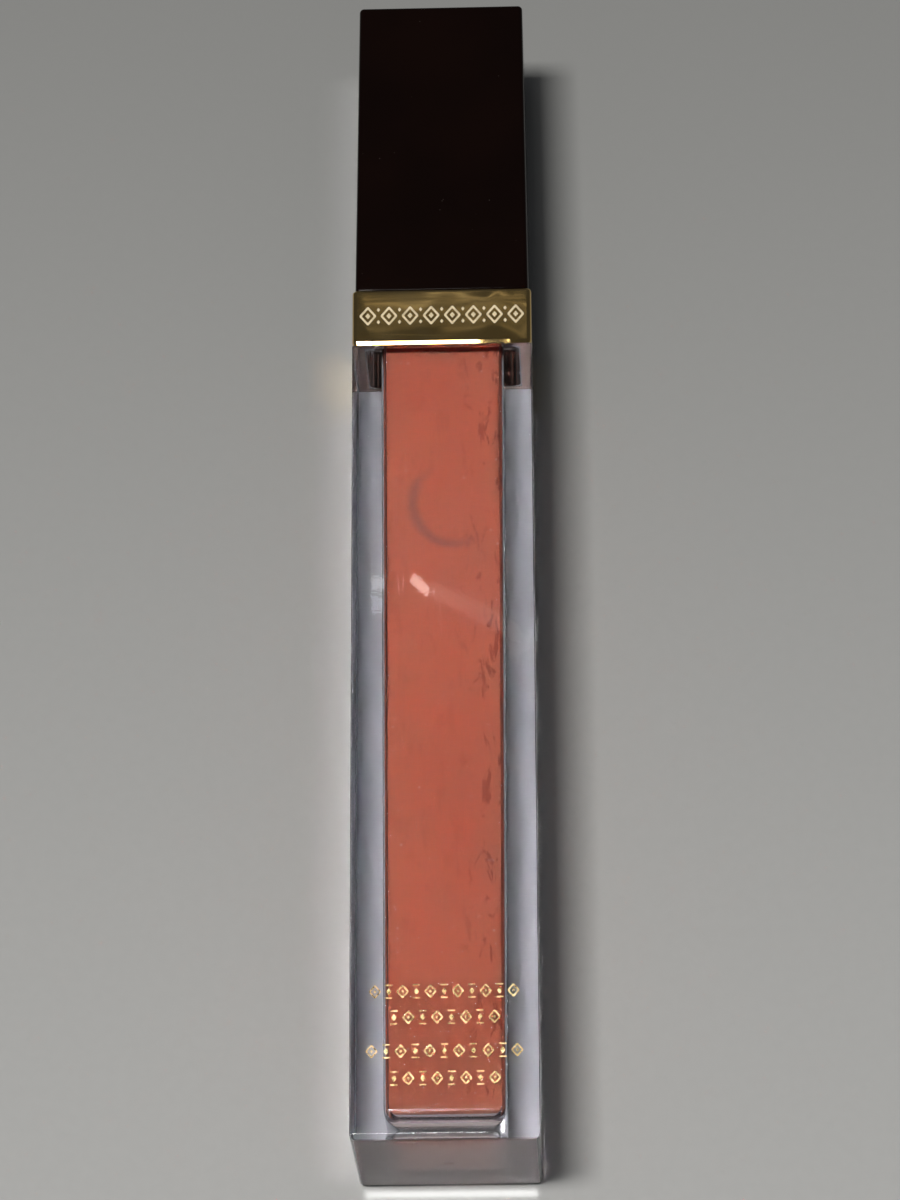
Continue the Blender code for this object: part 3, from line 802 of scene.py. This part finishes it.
def make_vial():
    """A thin square vial with a flange, a round neck and its thread."""
    low, high = reach("inner_vial")
    rings = rounded_bottom(low, VIAL_HALF_BASE, VIAL_CORNER, VIAL_BOTTOM_ROUND)
    rings.append(square_ring(FLANGE_LOW, VIAL_HALF_TOP, VIAL_CORNER))
    rings += rounded_rim(FLANGE_LOW, FLANGE_HALF, FLANGE_CORNER, FLANGE_EDGE, upwards=False)
    rings += rounded_rim(FLANGE_TOP, FLANGE_HALF, FLANGE_CORNER, FLANGE_EDGE, upwards=True)
    rings.append(round_ring(FLANGE_TOP, NECK_RADIUS + NECK_EDGE))
    rings.append(round_ring(FLANGE_TOP + NECK_EDGE, NECK_RADIUS))
    rings.append(round_ring(high - NECK_EDGE, NECK_RADIUS))
    rings.append(round_ring(high, NECK_RADIUS - NECK_EDGE))
    rings.append(round_ring(high, NECK_BORE))
    rings.append(round_ring(CHAMBER_TOP, NECK_BORE))
    chamber_half = VIAL_HALF_TOP - VIAL_WALL
    rings.append(square_ring(CHAMBER_TOP, chamber_half, CHAMBER_CORNER))
    chamber_base = VIAL_HALF_BASE - VIAL_WALL
    floor = low + VIAL_FLOOR
    bottom = rounded_bottom(floor, chamber_base, CHAMBER_CORNER, CHAMBER_BOTTOM_ROUND)
    rings += list(reversed(bottom))
    body = skin("inner_vial_clear", rings)
    bead = thread_bead("neck_thread", NECK_RADIUS, THREAD_START, NECK_BEAD)
    mesh = merged("inner_vial_clear", body, bead)
    return piece(
        "inner_vial_clear", mesh, clear_vial_finish(), "bottle", "clear_vial", "inner_vial"
    )


def make_gloss():
    """The gloss wets the vial's walls, where its surface lies just inside the clear plastic."""
    low = reach("inner_vial")[0] + VIAL_FLOOR + GLOSS_LIFT
    half_base = VIAL_HALF_BASE - VIAL_WALL + WETTED
    half_top = VIAL_HALF_TOP - VIAL_WALL + WETTED
    corner = CHAMBER_CORNER + WETTED
    rings = rounded_bottom(low, half_base, corner, CHAMBER_BOTTOM_ROUND)
    top = CHAMBER_TOP + WETTED
    rings.append(square_ring(top, half_top, corner))
    channel_end = reach("brush_tuft")[0] - CHANNEL_MARGIN
    rings.append(round_ring(top, CHANNEL_RADIUS))
    rings.append(round_ring(channel_end + CHANNEL_RADIUS / 2, CHANNEL_RADIUS))
    rings.append(round_ring(channel_end, CHANNEL_RADIUS / 2))
    mesh = skin("gloss", rings)
    return piece("gloss", mesh, gloss_finish(), "bottle", "gloss", "gloss_fill")


def make_wiper():
    """A flanged tube in the neck, with a cone that narrows to the lip round the stem."""
    low, high = reach("wiper_insert")
    shoulder = high - WIPER_FLANGE_HEIGHT
    round_off = WIPER_WALL / 5
    outline = [
        (WIPER_FLANGE - round_off, high),
        (WIPER_FLANGE, high - round_off),
        (WIPER_FLANGE, shoulder),
        (WIPER_TUBE, shoulder),
        (WIPER_TUBE, WIPER_CONE),
        (WIPER_ORIFICE + WIPER_WALL / 2, WIPER_LIP),
        (WIPER_ORIFICE + round_off, WIPER_LIP),
        (WIPER_ORIFICE, WIPER_LIP + round_off),
        (WIPER_ORIFICE, WIPER_LIP + WIPER_WALL),
        (WIPER_TUBE - WIPER_WALL, WIPER_CONE + WIPER_WALL),
        (WIPER_TUBE - WIPER_WALL, high - round_off),
        (WIPER_TUBE - WIPER_WALL + round_off, high),
    ]
    mesh = lathe("wiper", outline, closed=True)
    return piece("wiper", mesh, wiper_finish(), "bottle", "wiper_plastic", "wiper_insert")


def make_seal():
    """A flat soft ring on the wiper's flange."""
    low, high = reach("seal_ring")
    outline = [
        (WIPER_FLANGE - SEAL_EDGE, high),
        (WIPER_FLANGE, high - SEAL_EDGE),
        (WIPER_FLANGE, low + SEAL_EDGE),
        (WIPER_FLANGE - SEAL_EDGE, low),
        (SEAL_HOLE + SEAL_EDGE, low),
        (SEAL_HOLE, low + SEAL_EDGE),
        (SEAL_HOLE, high - SEAL_EDGE),
        (SEAL_HOLE + SEAL_EDGE, high),
    ]
    mesh = lathe("seal_liner", outline, closed=True)
    return piece("seal_liner", mesh, seal_finish(), "seal", "seal", "seal_ring")


def make_stem():
    """A round stem with a thicker head, and a bore at its end for the tuft."""
    low, high = reach("wand_stem")
    head = high - STEM_HEAD_LENGTH
    edge = TUFT_BORE / 6
    outline = [
        (STEM_HEAD_RADIUS - edge, high),
        (STEM_HEAD_RADIUS, high - edge),
        (STEM_HEAD_RADIUS, head + edge),
        (STEM_HEAD_RADIUS - edge, head),
        (STEM_RADIUS, head),
        (STEM_RADIUS, low + 2 * edge),
        (STEM_RADIUS - edge / 2, low + edge / 2),
        (STEM_RADIUS - edge, low),
        (TUFT_BORE, low),
        (TUFT_BORE, low + TUFT_BORE_DEPTH),
    ]
    mesh = lathe("wand", outline)
    return piece("wand", mesh, coated_stem_finish(), "wand", "dark_plastic", "wand_stem")


def tuft_profile(along):
    """How wide the tuft spreads, from its root (0) to its tip (1), as a share of its belly."""
    root = TUFT_ROOT_RADIUS / TUFT_BELLY_RADIUS
    if along < TUFT_BELLY_AT:
        return root + (1 - root) * math.sin(math.pi / 2 * along / TUFT_BELLY_AT)
    past_belly = (along - TUFT_BELLY_AT) / (1 - TUFT_BELLY_AT)
    closing = math.sqrt(max(0.0, 1 - past_belly**TUFT_TIP_POWER))
    return closing * (1 - TUFT_TIP_SHARE) + TUFT_TIP_SHARE


def make_bristles():
    """Every bristle is its own tapered strand: those at the rim are shorter than those inside."""
    draw = random.Random(BRISTLE_SEED)
    golden_angle = math.pi * (3 - math.sqrt(5))
    tip, root = reach("brush_tuft")
    mouth = reach("wand_stem")[0]
    shape = bmesh.new()
    for index in range(BRISTLES):
        share = math.sqrt((index + 0.5) / BRISTLES)
        angle = index * golden_angle + draw.uniform(-BRISTLE_JITTER, BRISTLE_JITTER)
        end = 1 - RIM_SHORTENING * share**RIM_POWER * draw.uniform(RIM_EVENNESS, 1.0)
        twist = draw.uniform(-BRISTLE_TWIST, BRISTLE_TWIST)
        points = []
        radii = []
        for step in range(BRISTLE_STEPS + 1):
            along = step / BRISTLE_STEPS * end
            spread = TUFT_BELLY_RADIUS * tuft_profile(along) * share
            turned = angle + twist * along
            height = mouth - (mouth - tip) * along
            points.append(Vector((spread * math.cos(turned), spread * math.sin(turned), height)))
            radii.append(BRISTLE_RADIUS * (1 - BRISTLE_TAPER * (step / BRISTLE_STEPS) ** 2))
        start = points[0] * BRISTLE_ROOT_GATHER
        start.z = root
        points.insert(0, start)
        radii.insert(0, BRISTLE_RADIUS)
        rows = [[shape.verts.new(p) for p in ring] for ring in tube(points, radii, BRISTLE_SIDES)]
        for row, following in zip(rows, rows[1:]):
            for side in range(BRISTLE_SIDES):
                after = (side + 1) % BRISTLE_SIDES
                shape.faces.new((row[side], row[after], following[after], following[side]))
        shape.faces.new(list(reversed(rows[0])))
        shape.faces.new(rows[-1])
    bmesh.ops.recalc_face_normals(shape, faces=shape.faces)
    mesh = bpy.data.meshes.new("bristles")
    shape.to_mesh(mesh)
    shape.free()
    return piece("bristles", mesh, fibre_finish(), "wand", "fibre", "brush_tuft")


def make_anchor():
    """A short rounded bar of wire across the inner end of the stem's bore."""
    low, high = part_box("tuft_anchor")
    size = high - low
    mesh = bpy.data.meshes.new("anchor_staple")
    shape = bmesh.new()
    bmesh.ops.create_cube(shape, size=1.0)
    bmesh.ops.scale(shape, verts=shape.verts, vec=(size.x, size.z, size.y))
    bmesh.ops.bevel(
        shape,
        geom=shape.edges[:],
        offset=size.z / 4,
        offset_type="OFFSET",
        segments=4,
        profile=0.5,
        affect="EDGES",
    )
    bmesh.ops.translate(shape, verts=shape.verts, vec=(0.0, 0.0, (low.y + high.y) / 2 - BASE_Y))
    shape.to_mesh(mesh)
    shape.free()
    return piece("anchor_staple", mesh, wire_finish(), "wand", "anchor_wire", "tuft_anchor")


def make_inner_cap():
    """A threaded cup between two plates that hold the shell, with a socket for the wand."""
    high = reach("inner_cap")[1]
    plate_low = reach("cap_shell")[0] + PLUG_GAP
    plate_top = plate_low + PLATE_HEIGHT
    top_plate_low = high - PLATE_HEIGHT
    socket_end = high - PLUG_GAP - SOCKET_END
    edge = PLATE_CORNER / 5
    rings = rounded_rim(high, TOP_PLATE_HALF, PLATE_CORNER, edge, upwards=True)[::-1]
    rings.append(square_ring(top_plate_low, TOP_PLATE_HALF, PLATE_CORNER))
    rings.append(round_ring(top_plate_low, SOCKET_RADIUS))
    rings.append(round_ring(CUP_CEILING_TOP, SOCKET_RADIUS))
    rings.append(round_ring(CUP_CEILING_TOP, CUP_RADIUS - edge))
    rings.append(round_ring(CUP_CEILING_TOP - edge, CUP_RADIUS))
    rings.append(round_ring(plate_top, CUP_RADIUS))
    rings.append(square_ring(plate_top, LOW_PLATE_HALF, PLATE_CORNER))
    rings.append(square_ring(plate_low, LOW_PLATE_HALF, PLATE_CORNER))
    rings.append(round_ring(plate_low, CUP_BORE + edge))
    rings.append(round_ring(plate_low + edge, CUP_BORE))
    rings.append(round_ring(CUP_CEILING, CUP_BORE))
    rings.append(round_ring(CUP_CEILING, SOCKET_BORE))
    rings.append(round_ring(socket_end, SOCKET_BORE))
    body = skin("inner_cap_moulding", rings)
    bead = thread_bead("cap_thread", CUP_BORE, THREAD_START - CAP_BEAD_DROP, CAP_BEAD)
    mesh = merged("inner_cap_moulding", body, bead)
    return piece(
        "inner_cap_moulding", mesh, dark_plastic_finish(), "cap", "dark_plastic", "inner_cap"
    )


def make_cap_shell():
    """A slightly tapered square cover, open at its foot."""
    low, high = reach("cap_shell")
    inner_base = CAP_HALF_BASE - SHELL_WALL
    inner_top = CAP_HALF_TOP - SHELL_WALL
    rings = [square_ring(high - SHELL_WALL, inner_top, CAP_EDGE)]
    rings.append(square_ring(low + CAP_FOOT_EDGE, inner_base, CAP_EDGE))
    rings.append(square_ring(low, inner_base + CAP_FOOT_EDGE, CAP_EDGE + CAP_FOOT_EDGE))
    rings += rounded_rim(low, CAP_HALF_BASE, CAP_CORNER, CAP_FOOT_EDGE, upwards=False)
    rings += rounded_rim(high, CAP_HALF_TOP, CAP_CORNER, CAP_EDGE, upwards=True)
    mesh = skin("cap_cover", rings)
    return piece("cap_cover", mesh, cap_finish(), "cap", "cap_plastic", "cap_shell")


def make_collar():
    """A square band with a rolled foot and, at its top, a floor with a round hole for the neck."""
    high = reach("gold_collar")[1]
    low = BODY_LENGTH - SKIN
    half = half_width("gold_collar") - SKIN
    inner = half - COLLAR_WALL
    foot = half - COLLAR_ROLL_DROP
    rings = rounded_rim(low, foot, COLLAR_CORNER, COLLAR_FOOT_EDGE, upwards=False)
    for share in COLLAR_ROLL_RINGS:
        level = low + COLLAR_FOOT_EDGE + COLLAR_ROLL * share
        rings.append(square_ring(level, foot + COLLAR_ROLL_DROP * share, COLLAR_CORNER))
    rings += rounded_rim(high, half, COLLAR_CORNER, COLLAR_EDGE, upwards=True)
    rings.append(round_ring(high, COLLAR_HOLE))
    rings.append(round_ring(high - COLLAR_TOP_WALL, COLLAR_HOLE))
    rings.append(square_ring(high - COLLAR_TOP_WALL, inner, COLLAR_EDGE))
    rings.append(square_ring(low, inner, COLLAR_EDGE))
    mesh = skin("collar_band", rings, closed=True)
    return piece("collar_band", mesh, gold_finish(), "bottle", "gold", "gold_collar")


# ---------------------------------------------------------------- ornament


class Ornament:
    """Thin raised marks on the front, drawn in the plane of the front face."""

    def __init__(self, name, front):
        self.name = name
        self.front = front
        self.shape = bmesh.new()

    def point(self, x, height, deep):
        """A vertex on the front, or sunk below it by a depth."""
        return self.shape.verts.new((x, -(self.front - deep), height))

    def plate(self, outline, hole=None):
        """A flat mark with an outline, and a hole with as many points as the outline if given."""
        rows = []
        for deep in (PRINT_DEPTH, 0.0):
            rows.append([self.point(x, z, deep) for x, z in outline])
        count = len(outline)
        if hole is None:
            self.shape.faces.new(rows[0][::-1])
            self.shape.faces.new(rows[1])
        else:
            inner = [[self.point(x, z, deep) for x, z in hole] for deep in (PRINT_DEPTH, 0.0)]
        for index in range(count):
            after = (index + 1) % count
            self.shape.faces.new((rows[0][index], rows[0][after], rows[1][after], rows[1][index]))
            if hole is not None:
                for row, ring, order in ((rows[1], inner[1], 1), (rows[0], inner[0], -1)):
                    corners = (row[index], row[after], ring[after], ring[index])
                    self.shape.faces.new(corners[::order])
                corners = (inner[1][index], inner[1][after], inner[0][after], inner[0][index])
                self.shape.faces.new(corners)

    def lozenge(self, x, z, half, shares, stroke=None):
        """A lozenge with softened corners, solid or as an outline. Shares of half give its size."""
        half_x = half * shares[0]
        half_z = half * shares[1]
        outline = soft_lozenge(x, z, half_x, half_z)
        if stroke is None:
            self.plate(outline)
            return
        slant = stroke * math.hypot(half_x, half_z)
        inner = soft_lozenge(x, z, half_x - slant / half_z, half_z - slant / half_x)
        self.plate(outline, inner)

    def bar(self, x, z, half_x, half_z):
        """A short straight bar across the tube."""
        self.plate(
            [
                (x - half_x, z - half_z),
                (x + half_x, z - half_z),
                (x + half_x, z + half_z),
                (x - half_x, z + half_z),
            ]
        )

    def finish(self, finish, body, slot):
        """Makes one piece of all the marks."""
        bmesh.ops.recalc_face_normals(self.shape, faces=self.shape.faces)
        mesh = bpy.data.meshes.new(self.name)
        self.shape.to_mesh(mesh)
        self.shape.free()
        return piece(self.name, mesh, finish, body, slot)


def soft_lozenge(x, z, half_x, half_z):
    """A lozenge whose four corners are cut by a short flat."""
    points = []
    for turn in range(4):
        angle = turn * math.pi / 2
        corner = Vector((math.cos(angle) * half_x, math.sin(angle) * half_z))
        before = Vector((math.sin(angle) * half_x, -math.cos(angle) * half_z))
        for other in (before, -before):
            soft = corner.lerp(other, LOZENGE_BLUNT)
            points.append((x + soft.x, z + soft.y))
    return points


def make_collar_ornament():
    """A row of lozenges along the collar, with pairs of dots between them."""
    low, high = reach("gold_collar")
    middle = (low + high) / 2
    marks = Ornament("collar_lozenges", half_width("gold_collar") - SKIN + PRINT_DEPTH)
    for index in range(COLLAR_MOTIFS):
        x = (index - (COLLAR_MOTIFS - 1) / 2) * COLLAR_MOTIF_PITCH
        marks.lozenge(x, middle, COLLAR_MOTIF_HALF, COLLAR_LOZENGE, COLLAR_STROKE)
        marks.lozenge(x, middle, COLLAR_MOTIF_HALF, COLLAR_CENTRE)
        if index:
            between = x - COLLAR_MOTIF_PITCH / 2
            for side in (-1, 1):
                level = middle + side * COLLAR_MOTIF_HALF * COLLAR_DOT_OFFSET
                marks.lozenge(between, level, COLLAR_MOTIF_HALF, COLLAR_DOT)
    return marks.finish(satin_gold_finish(), "bottle", "gold")


def make_foil_ornament():
    """Four rows in which lozenges take turns with spots between two bars."""
    marks = Ornament("foil_lozenges", half_width("outer_jacket") - SKIN + PRINT_DEPTH)
    for row, (level, width, count) in enumerate(FOIL_ROWS):
        pitch = (width - 2 * FOIL_HALF * FOIL_END_HALF) / (count - 1)
        for index in range(count):
            x = (index - (count - 1) / 2) * pitch
            if (index + row) % 2 == 0:
                marks.lozenge(x, level, FOIL_HALF, FOIL_LOZENGE, FOIL_STROKE)
                marks.lozenge(x, level, FOIL_HALF, FOIL_CENTRE)
            else:
                marks.lozenge(x, level, FOIL_HALF, FOIL_SPOT)
                for side in (-1, 1):
                    bar_level = level + side * FOIL_HALF * FOIL_BAR_OFFSET
                    marks.bar(x, bar_level, FOIL_HALF * FOIL_BAR_HALF, FOIL_STROKE / 2)
    return marks.finish(foil_finish(), "bottle", "gold")


# ---------------------------------------------------------------- setting


def make_floor():
    """A wide board just below the object."""
    mesh = bpy.data.meshes.new("floor")
    shape = bmesh.new()
    bmesh.ops.create_grid(shape, x_segments=1, y_segments=1, size=FLOOR_SIZE / 2)
    shape.to_mesh(mesh)
    shape.free()
    mesh.materials.append(floor_finish())
    floor = bpy.data.objects.new("floor", mesh)
    floor.location.z = LOW.z - FLOOR_DROP
    bpy.context.scene.collection.objects.link(floor)


def make_light(name, direction, distance, size, watts, colour, roll):
    """A soft panel light in a direction from the object and facing it.

    One of its sides lies along X, unless it is rolled.
    """
    data = bpy.data.lights.new(name, "AREA")
    data.energy = watts
    data.color = colour
    data.shape = "RECTANGLE"
    data.size, data.size_y = size
    light = bpy.data.objects.new(name, data)
    towards = Vector(direction).normalized()
    across = (Vector((1.0, 0.0, 0.0)) - towards * towards.x).normalized()
    turn = Matrix((across, towards.cross(across), towards)).transposed()
    turn = turn @ Matrix.Rotation(roll, 3, "Z")
    light.matrix_world = Matrix.Translation((LOW + HIGH) / 2 + towards * distance) @ turn.to_4x4()
    bpy.context.scene.collection.objects.link(light)


def make_glint():
    """Light that the polished base end throws on the floor in front of it."""
    data = bpy.data.lights.new("base_glint", "AREA")
    data.energy = GLINT_WATTS
    data.shape = "RECTANGLE"
    data.size, data.size_y = GLINT_SIZE
    data.spread = GLINT_SPREAD
    light = bpy.data.objects.new("base_glint", data)
    light.location = (0.0, BASE_Y - GLINT_GAP, LOW.z + GLINT_HEIGHT)
    light.visible_camera = False
    bpy.context.scene.collection.objects.link(light)


def make_lights():
    """The panels, the glint and an even room light."""
    for panel in PANELS:
        make_light(*panel)
    make_glint()
    world = bpy.data.worlds.new("room")
    world.use_nodes = True
    room = world.node_tree.nodes["Background"]
    room.inputs["Color"].default_value = ROOM_COLOUR
    room.inputs["Strength"].default_value = ROOM_STRENGTH
    bpy.context.scene.world = world


def make_camera():
    """A long lens above the base end, looking down along the tube."""
    data = bpy.data.cameras.new("camera")
    data.lens = CAMERA_LENS
    data.sensor_width = CAMERA_SENSOR
    data.clip_start = CAMERA_CLIP_START
    data.clip_end = CAMERA_CLIP_END
    camera = bpy.data.objects.new("camera", data)
    forward = (CAMERA_AIM - CAMERA_PLACE).normalized()
    up = Vector((0.0, 1.0, 0.0)) - forward * forward.y
    up = Matrix.Rotation(CAMERA_ROLL, 3, forward) @ up.normalized()
    right = forward.cross(up)
    turn = Matrix((right, up, -forward)).transposed().to_4x4()
    camera.matrix_world = Matrix.Translation(CAMERA_PLACE) @ turn
    bpy.context.scene.collection.objects.link(camera)
    bpy.context.scene.camera = camera


def set_view():
    """Plain colours, and enough unclamped bounces for light to pass through the nested walls."""
    scene = bpy.context.scene
    scene.view_settings.view_transform = "Standard"
    scene.cycles.sample_clamp_indirect = 0.0
    scene.cycles.blur_glossy = 0.0
    scene.cycles.max_bounces = CLEAR_BOUNCES
    scene.cycles.transmission_bounces = CLEAR_BOUNCES
    scene.cycles.glossy_bounces = MIRROR_BOUNCES
    scene.cycles.transparent_max_bounces = CLEAR_BOUNCES


make_floor()
make_camera()
make_lights()
set_view()

make_jacket()
make_vial()
make_gloss()
make_wiper()
make_seal()
make_stem()
make_bristles()
make_anchor()
make_inner_cap()
make_cap_shell()
make_collar()
make_collar_ornament()
make_foil_ornament()
